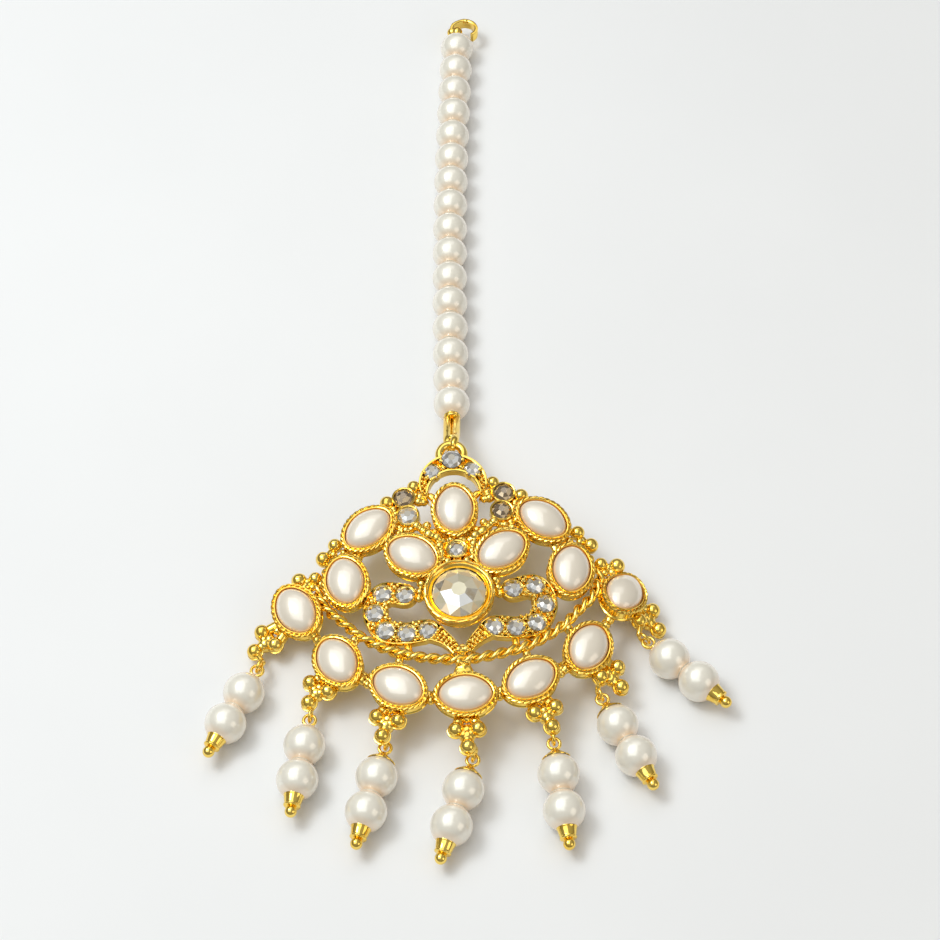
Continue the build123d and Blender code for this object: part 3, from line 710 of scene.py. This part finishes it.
def edge_lines(spine, widths):
    """Left and right edges of a strip from its middle line and half widths."""
    left, right = [], []
    for k, point in enumerate(spine):
        before, after = spine[max(k - 1, 0)], spine[min(k + 1, len(spine) - 1)]
        way = (after - before).normalized()
        side = Vector((-way.y, way.x)) * widths[k]
        left.append(point - side)
        right.append(point + side)
    return left, right


def granule(form, across, up, height, radius, rings=8, sides=12):
    form.ball(on(across, up, height), radius, normal_at(across), rings, sides)


prong_foot, prong_height, prong_head, prong_slimness = 0.9, 2.05, 2.12, 0.92


def prong(form, across, up, radius):
    """A post with a round head that holds a stone."""
    form.tube([on(across, up, prong_foot), on(across, up, prong_height)], radius * prong_slimness,
              Vector((0, 1, 0)), sides=10)
    granule(form, across, up, prong_head, radius)


paisley_edge, paisley_top, floor_rise = 1.75, 2.12, 0.2    # half width at a stone; rise a row
grain_step, grain_radius, grain_height, grain_margin = 0.52, 0.27, 1.95, 0.42
paisley_bead_height, paisley_bead_radius = 2.1, 0.24
between_stones = [(-1.02, 0, 0.38), (1.02, 0, 0.38), (-1.42, 0.42, 0.26), (-1.42, -0.42, 0.26),
                  (1.42, 0.42, 0.26), (1.42, -0.42, 0.26)]    # prongs: aside, along, radius


def make_paisley(side, sign):
    """The comma: a channel under the stones, a stippled tail, prong beads and stone collars."""
    form = Form()
    spots = [(s.across, s.up, paisley_edge) for s in paisley_stones] + [tuple(s) for s in paisley_tail]
    per_span, round_rows, quarter = 8, 6, 6.3    # the round end stops just short of a point
    line = curved(spots, per_span)               # across, up and half width along the middle
    head = line[0]
    out = (line[0] - line[1]).xy.normalized()
    for step in range(1, round_rows + 1):
        angle = pi / 2 * step / quarter
        reach, width = sin(angle) * head.z, cos(angle) * head.z
        line.insert(0, Vector((head.x + out.x * reach, head.y + out.y * reach, width)))
    left, right = edge_lines([Vector((sign * p.x, p.y)) for p in line], [p.z for p in line])
    if sign < 0:
        left, right = right, left
    slope_start = round_rows + (len(paisley_stones) - 1) * per_span + 2    # beyond the last stone
    floors = [min(stipple_floor, sunk_floor + floor_rise * max(0, k - slope_start))
              for k in range(len(line))]
    channel(form, left, right, floors, edge=0.26, top=paisley_top)
    for stone in paisley_stones:
        collar(form, stone._replace(across=sign * stone.across), height=1.98, wall=0.22, foot=0.8)
    for first, second in zip(paisley_stones, paisley_stones[1:]):
        start, end = (Vector((s.across, s.up)) for s in (first, second))
        middle, way = (start + end) / 2, (end - start).normalized()
        over = Vector((-way.y, way.x))
        for aside, along, radius in between_stones:
            spot = middle + over * aside + way * along
            prong(form, sign * spot.x, spot.y, radius)
        granule(form, sign * middle.x, middle.y, paisley_bead_height, paisley_bead_radius, 6, 9)
    piece(f"paisley_{side}", form)
    stipple = Form()
    travelled, row_number = 0.0, 0
    for k in range(slope_start + 1, len(line) - 1):
        travelled += (line[k].xy - line[k - 1].xy).length
        if travelled < grain_step:
            continue
        travelled = 0.0
        way = (line[k + 1] - line[k - 1]).xy.normalized()
        room = line[k].z - grain_margin
        count = max(1, round(2 * room / grain_step) + 1 - row_number % 2)
        room *= (count - 1) * grain_step / max(2 * room, grain_step)
        row_number += 1
        for j in range(count):
            offset = 0 if count == 1 else (j / (count - 1) - 0.5) * 2 * room
            spot = line[k].xy + Vector((-way.y, way.x)) * offset
            granule(stipple, sign * spot.x, spot.y, grain_height, grain_radius)
    piece(f"paisley_stipple_{side}", stipple)


for side, sign in SIGNS.items():
    make_paisley(side, sign)


outer_from, outer_sweep, inner_from, inner_sweep = -40, 260, -22, 224    # degrees
crescent_prongs = [Spot(1.6, 22.45, 0.38), Spot(1.3, 21.15, 0.36), Spot(4.1, 20.7, 0.34),
                   Spot(3.85, 19.6, 0.36)]
crescent_beads = [Grain(2.05, 19.95, 2.12, 0.24), Grain(3.2, 19.25, 2.12, 0.24)]
horn_grains = [Grain(across, up, 1.85, 0.3) for across, up in (
    (4.45, 19.95), (4.15, 18.85), (4.55, 19.25), (4.5, 18.45), (4.1, 17.95), (4.5, 17.5),
    (4.1, 17.1), (4.25, 16.5))]


def make_crescent():
    """The crescent: polished raised edges, stippled horns that end in points, prong beads."""
    form = Form()
    left, right, floors = [], [], []
    count, taper, horn = 64, 9, 15    # rows in all, in a pointed end, and in a stippled horn
    for k in range(count + 1):
        angle = radians(outer_from + outer_sweep * k / count)
        outer = Vector((crescent_radius * cos(angle), crescent_centre + crescent_radius * sin(angle)))
        angle = radians(inner_from + inner_sweep * k / count)
        inner = Vector((bite_radius * cos(angle), bite_centre + bite_radius * sin(angle)))
        full = min(1.0, 0.08 + min(k, count - k) / taper)
        middle = (inner + outer) / 2
        left.append(middle.lerp(inner, full))
        right.append(middle.lerp(outer, full))
        floors.append(sunk_floor if horn <= k <= count - horn else stipple_floor)
    channel(form, right, left, floors, edge=0.45, top=2.2)
    for stone in [crest_seat] + horn_stones:
        collar(form, stone, height=2.0, wall=0.14, foot=1.5)
    for spot in both_sides(crescent_prongs):
        prong(form, *spot)
    for grain in both_sides(crescent_beads):
        granule(form, *grain)
    piece("crescent", form)
    stipple = Form()
    for grain in both_sides(horn_grains):
        granule(stipple, *grain)
    piece("crescent_stipple", stipple)


make_crescent()


# ---- rope swag, backing bars, balls and granules
swag_radius, swag_turn = 0.85, 3.9


def make_swag():
    """The rope, drawn from one end to the other through the right half's points and their mirror."""
    form = Form()
    line = curved([(-across, up) for across, up in reversed(swag[1:])] + swag, 12)
    path = [on(p.x, p.y, swag_height) for p in line]
    ups = [normal_at(p.x) for p in line]
    form.rope(path, ups, swag_radius, swag_turn, sides=12, steps=22, thin=0.5)
    piece("swag", form)


def make_backing():
    """Bars, webs and cast beads behind everything, melted into one casting."""
    form = Form()
    mirrored = [link._replace(across1=-link.across1, across2=-link.across2) for link in paired_links]
    for link in paired_links + mirrored + centre_links:
        up = normal_at(link.across1)
        ends = [on(link.across1, link.up1, link_height), on(link.across2, link.up2, link_height)]
        bow = ends[0].lerp(ends[1], 0.5) - up * link_bow
        form.tube(curved([ends[0], bow, ends[1]], 5), link_radius, up, sides=14, flat=link_flat)
    for path, radii in web_bars:
        points = [on(across, up, web_height) for across, up in path]
        form.tube(points, radii, normal_at(0), sides=16, flat=web_flat)
    for grain in both_sides(grains):
        granule(form, *grain, 10, 16)
    melt(piece("backing_bars", form, stands_for=["medallion"]))


def make_edge_balls():
    """Balls on the outer edge, each on a low foot."""
    form = Form()
    for row in both_sides(edge_balls):
        r = row.radius
        form.ball(on(row.across, row.up, ball_height), r, normal_at(row.across), 14, 24)
        form.turned(seat(row.across, row.up), [(r * 0.7, 0.8), (r * 0.92, 0.88), (r * 0.92, 1.1),
                                               (r * 0.7, 1.2)], sides=24)
    piece("edge_balls", form)


make_swag()
make_backing()
make_edge_balls()


# ---- trios of balls with their cast loops
neck_radius, neck_drop, loop_post = 0.837, 0.45, 0.42    # post: the bar from a ball to the loop
hub_radius, bridge_radius, arm_radius = 1.15, 0.95, 0.6
trio_foot_profile = [(0.9, 0.9), (1.16, 0.98), (1.26, 1.16), (1.2, 1.36), (1.0, 1.4)]


def trio_balls(trio):
    """Across and up of the two inner balls and the outer one."""
    out = radians(trio.heading)
    depth = trio_spacing * sqrt(3) / 2
    inner = [(trio.across - depth * cos(out) - sign * trio_spacing / 2 * sin(out),
              trio.up - depth * sin(out) + sign * trio_spacing / 2 * cos(out)) for sign in (1, -1)]
    return inner + [(trio.across, trio.up)]


def centre_of(node):
    low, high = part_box(node)
    return (low + high) / 2 / MM


def drop_axis(number, trio):
    """Eye's centre, direction along the pin, and distances of the two pearls from the eye."""
    upper = centre_of(f"drop_{number}_pearl_upper")
    lower = centre_of(f"drop_{number}_pearl_lower")
    along = (lower - upper).normalized()
    reach = eye_radius + pin_wire + pin_neck + (cap_reach if trio.cap else drop_pearl_half + bead_gap)
    return upper - along * reach, along, reach, reach + (lower - upper).length


def make_trio(number, trio, loop, along):
    """Three balls on short necks, joined to the nearest cup, and the loop that the drop hangs from."""
    form = Form()
    spots = trio_balls(trio)
    places = [on(*spot, ball_height) for spot in spots]
    lift = normal_at(trio.across)
    middle = sum(places, Vector()) / 3
    bridge = places[0].lerp(places[1], 0.5)
    cup = min((on(c.across, c.up, ball_height) for c in cups), key=lambda p: (p - middle).length)
    low = lift * neck_drop
    for place, spot in zip(places, spots):
        form.ball(place, trio_ball, lift)
        form.turned(seat(*spot), trio_foot_profile, sides=28)
        form.tube([place - low, middle - low], neck_radius, lift, sides=14)
    form.ball(middle - 1.5 * low, hub_radius, lift, 12, 20)
    form.ball(bridge - 1.2 * low, bridge_radius, lift, 12, 20)
    for place in places[:2]:
        form.tube([place - low, place.lerp(cup, 0.5) - low], neck_radius, lift, sides=14)
    form.ball(bridge.lerp(cup, 0.3), arm_radius, lift, 8, 14)
    side = Vector((along.y, -along.x, 0)).normalized()
    ring = ring_of(axes(loop, (-side.y, side.x, 0), side), 32, loop_radius)
    form.tube(ring, loop_wire, side, sides=10, closed=True)
    holder = min(places, key=lambda place: (place - loop).length)
    nearest = min(ring, key=lambda point: (point - holder).length)
    form.tube([holder, nearest], loop_post, UP, sides=10)
    piece(f"drop_{number}_mount", form)


# ---- pearls, pins, cones and caps
pearl_steps, bore_gap = 26, 0.045


def make_pearl(name, node, centre, along, radius, half):
    """A drilled pearl: sphere with a small raised lip round each end of its bore."""
    flat = sqrt(radius * radius - half * half)
    lip = [(0.3, half - 0.5), (0.38, half - 0.12), (0.6, half - 0.02), (flat - 0.15, half - 0.01),
           (flat + 0.12, half + 0.015), (flat + 0.2, half - 0.035), (flat + 0.14, half - 0.1)]
    # the inside of the bore and the side just below the lip take the warm rim colour: painted shade and
    # warm bounce
    lip_tones = [0.9, 0.9, 0.8, 0.5, 0.0, 0.0, 0.75]
    start = atan2(flat, half) + bore_gap
    angles = [start + (pi - 2 * start) * k / pearl_steps for k in range(pearl_steps + 1)]
    profile = (lip + [(radius * sin(angle), radius * cos(angle)) for angle in angles]
               + [(r, -z) for r, z in reversed(lip)])
    # the tone rises towards the bore ends, where the pearls touch: partly the nacre's own warmth,
    # partly painted warm bounce light and shade
    tones = lip_tones + [0.8 * cos(angle) ** 2 for angle in angles] + lip_tones[::-1]
    form = Form()
    form.turned(axes(centre, UP.cross(along), along), profile, sides=56, tones=tones)
    form.faces = [corners[::-1] for corners in form.faces]    # since the profile runs down
    piece(name, form, [pearl_nacre], [node], crease=50)


cone_profile = [
    (0.5, 2.98), (1.2, 2.62), (1.38, 2.48), (1.46, 2.53), (1.47, 2.62), (1.41, 2.7), (1.37, 2.8),
    (1.27, 3.3), (1.17, 3.78), (1.15, 3.92), (1.21, 4.0), (1.22, 4.1), (1.14, 4.2), (0.95, 4.26),
    (0.3, 4.3)]
cap_profile = [
    (0.32, 3.02), (0.8, 2.95), (1.4, 2.66), (1.85, 2.33), (1.98, 2.3), (2.02, 2.4), (1.9, 2.56),
    (1.62, 2.78), (1.4, 2.88), (1.3, 3.02), (1.12, 3.16), (0.85, 3.26), (0.6, 3.36), (0.48, 3.6),
    (0.4, 3.86), (0.3, 3.9)]
head_radius, head_reach, pin_reach = 0.86, 4.95, 4.5    # beyond the lower pearl's middle


def make_pin(number, trio, eye, along, upper, lower):
    """The eye, the pin through both pearls, the cone under them with its ball, and a cap on top."""
    across = Vector((-along.y, along.x, 0)).normalized()
    place = axes(eye, across, along)
    form = Form()
    hoop = [place @ Vector((eye_radius * sin(tau * k / 32), 0, -eye_radius * cos(tau * k / 32)))
            for k in range(32)]
    form.tube(hoop, eye_wire, place.col[1].to_3d(), sides=10, closed=True)
    form.tube([eye + along * eye_radius, eye + along * (lower + pin_reach)], pin_wire, across, sides=10)
    form.turned(axes(eye + along * lower, across, along), cone_profile, sides=40)
    form.ball(eye + along * (lower + head_reach), head_radius, along)
    if trio.cap:
        form.turned(axes(eye + along * upper, across, -along), cap_profile, sides=36)
    piece(f"drop_{number}_fittings", form, stands_for=[f"drop_{number}_pin"], crease=45)


for number, trio in enumerate(trios, 1):
    eye, along, upper, lower = drop_axis(number, trio)
    make_trio(number, trio, eye - along * eye_radius, along)
    make_pin(number, trio, eye, along, upper, lower)
    for where, reach in (("upper", upper), ("lower", lower)):
        make_pearl(f"drop_{number}_bead_{where}", f"drop_{number}_pearl_{where}", eye + along * reach,
                   along, drop_pearl_radius, drop_pearl_half)


# ---- string of pearls
centres = [centre_of(f"string_pearl_{number:02d}") for number in range(1, string_count + 1)]
for number, centre in enumerate(centres, 1):
    before = centres[max(number - 2, 0)]
    after = centres[min(number, string_count - 1)]
    make_pearl(f"string_bead_{number:02d}", f"string_pearl_{number:02d}", centre,
               (after - before).normalized(), string_pearl_radius, string_pearl_half)
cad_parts["string_wire"].data.materials.clear()
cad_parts["string_wire"].data.materials.append(bright_gold)


# ---- ring, clamp and hook
def swelling(line, start, gain, steps):
    """Radii along a line that grow by a gain over its first steps."""
    return [start + gain * min(1.0, k / steps) for k in range(len(line))]


clamp_collar = [(0.4, 0.0), (1.15, 0.0), (1.28, 0.1), (1.3, 0.25), (1.24, 0.36), (1.2, 0.42),
                (1.28, 0.5), (1.26, 0.62), (1.1, 0.7), (0.4, 0.7)]
strip_aside, strip_overlap, collar_overlap, bail_wire = 0.66, 0.35, 0.7, 0.34


def make_clamp():
    """The top ring, the folded strip with its groove, the collar and the bail through the ring."""
    ring_form = Form()
    place = seat(0, ring_up, ring_height)
    ring_form.tube(ring_of(place, 56, ring_radius), ring_wire, place.col[2].to_3d(), sides=14,
                   closed=True)
    piece("top_ring", ring_form)
    along = (centres[1] - centres[0]).normalized()
    mouth = centres[0] - along * (string_pearl_half + bead_gap)
    ring_centre = place.translation
    toward = Vector((mouth.x - ring_centre.x, mouth.y - ring_centre.y, 0)).normalized()
    side = Vector((toward.y, -toward.x, 0))
    end = mouth - along * strip_overlap
    form = Form()

    def at(right, forward, height):
        return ring_centre + side * right + toward * forward + UP * height

    left_bar = curved([at(-0.3, 1.5, -1.1), at(-0.55, 2.7, -0.55), at(-0.64, 4.6, -1.35),
                       end - side * strip_aside])
    form.tube(left_bar, swelling(left_bar, 0.4, 0.27, 8), UP, sides=18)
    right_bar = curved([at(0.25, 0.9, 0.3), at(0.35, 1.8, 0.6), at(0.52, 3.0, 0.0),
                        at(0.64, 4.6, -1.15), end + side * strip_aside])
    form.tube(right_bar, swelling(right_bar, 0.32, 0.35, 12), UP, sides=18)
    bail = curved([at(0.25, 0.9, 0.5), at(0.2, 0.75, -0.35), at(0.15, 1.2, -0.95), at(0.1, 2.0, -1.1),
                   at(0.0, 2.9, -0.8), at(0.0, 3.6, -0.2)])
    form.tube(bail, bail_wire, side, sides=12)
    form.turned(axes(mouth - along * collar_overlap, side, along), clamp_collar, sides=36)
    piece("clamp", form, stands_for=["top_clamp"], crease=50)


band_section = [(-0.22, -0.92), (0.2, -0.92), (0.29, -0.83), (0.29, 0.8), (0.22, 0.9), (0.05, 0.93),
                (-0.15, 0.92), (-0.27, 0.85), (-0.29, 0.76), (-0.29, -0.83)]    # outward, up
hook_collar = [(0.35, 0.0), (0.7, 0.0), (0.8, 0.1), (0.8, 0.4), (0.7, 0.48), (0.76, 0.6), (0.72, 0.8),
               (0.5, 0.9)]
root_bead, collar_bead, knob, hook_stem = 0.9, 0.95, 0.5, 0.46    # radii


def make_hook():
    """A curled band with two beads at its root, a knob at its top, and a collar on the last pearl."""
    along = (centres[-1] - centres[-2]).normalized()
    pearl = centres[-1]
    mouth = pearl + along * (string_pearl_half + bead_gap)
    level = Vector((along.x, along.y, 0)).normalized()
    right = Vector((level.y, -level.x, 0))

    def at(across, ahead, height=0.0):
        return pearl + right * across + level * ahead + UP * height

    form = Form()
    curl = curved([at(-1.2, 3.9), at(-0.85, 5.2), at(0.2, 6.05), at(1.3, 6.35), at(2.5, 5.85),
                   at(3.2, 4.75), at(3.1, 3.7), at(2.5, 2.9)])
    form.stack([[point - away * out + UP * up for out, up in band_section]
                for point, away, _ in frames(curl, UP)])
    form.ball(at(-0.95, 3.95), root_bead)
    form.ball(at(-0.1, 3.95, 0.05), collar_bead)
    form.ball(at(1.3, 6.25, 0.55), knob, rings=14, sides=24)
    form.turned(axes(mouth, right, along), hook_collar, sides=32)
    form.tube([mouth + along * 0.3, mouth + along * 1.3], hook_stem, UP, sides=14)
    piece("hair_hook", form, stands_for=["hook"], crease=40)


make_clamp()
make_hook()


# -------- floor, light and camera, in metres
def make_floor():
    mesh = bpy.data.meshes.new("floor")
    reach = 3.0
    corners = [(-reach, -reach, 0), (reach, -reach, 0), (reach, reach, 0), (-reach, reach, 0)]
    mesh.from_pydata(corners, [], [(0, 1, 2, 3)])
    floor = bpy.data.objects.new("floor", mesh)
    scene.collection.objects.link(floor)
    material, shader = new_material("floor_paper", Roughness=0.9)
    vary(shader.inputs["Base Color"], 0.02, (0.3, 0.83), (0.7, 0.85))
    mesh.materials.append(material)


def soft_light(name, place, aim, size, radiance, colour):
    """A rectangular light of that brightness, whatever its size."""
    lamp = bpy.data.lights.new(name, "AREA")
    lamp.shape = "RECTANGLE"
    lamp.size, lamp.size_y = size
    lamp.energy = radiance * pi * size[0] * size[1]
    lamp.color = colour
    thing = bpy.data.objects.new(name, lamp)
    thing.location = place
    thing.rotation_euler = (Vector(place) - Vector(aim)).to_track_quat("Z", "Y").to_euler()
    scene.collection.objects.link(thing)


def make_world():
    world = bpy.data.worlds.new("studio")
    world.use_nodes = True
    nodes, links = world.node_tree.nodes, world.node_tree.links
    place = nodes.new("ShaderNodeTexCoord")
    split = nodes.new("ShaderNodeSeparateXYZ")
    links.new(place.outputs["Generated"], split.inputs["Vector"])
    ramp(split.outputs["Z"], nodes["Background"].inputs["Color"], (0.0, (0.21, 0.20, 0.19)),
         (0.45, (0.31, 0.30, 0.28)), (1.0, (0.46, 0.45, 0.42)))
    scene.world = world


make_floor()
make_world()
soft_light("key", (-0.17, 0.02, 0.50), (0.0, -0.01, 0.0), (0.70, 0.50), 1.35, (0.92, 0.97, 1.0))
soft_light("core", (-0.25, 0.05, 0.47), (0.0, -0.03, 0.0), (0.21, 0.17), 8.5, (0.92, 0.97, 1.0))
soft_light("back_top", (0.05, 0.50, 0.55), (0.0, 0.0, 0.0), (0.5, 0.3), 0.7, (1.0, 1.0, 1.0))
soft_light("fill", (0.42, -0.30, 0.30), (0.0, -0.02, 0.0), (0.30, 0.30), 1.2, (1.0, 0.89, 0.76))

azimuth, elevation, distance = radians(-3.0), radians(54.5), 0.3535
target = Vector((0.00255, -0.01386, 0.0))
back = Vector((sin(azimuth) * cos(elevation), -cos(azimuth) * cos(elevation), sin(elevation)))
lens = bpy.data.cameras.new("camera")
lens.lens, lens.sensor_width = 88.09, 36.0
lens.clip_start, lens.clip_end = 0.01, 10.0
camera = bpy.data.objects.new("camera", lens)
camera.location = target + back * distance
camera.rotation_euler = back.to_track_quat("Z", "Y").to_euler()
scene.collection.objects.link(camera)
scene.camera = camera
scene.view_settings.view_transform = "Standard"
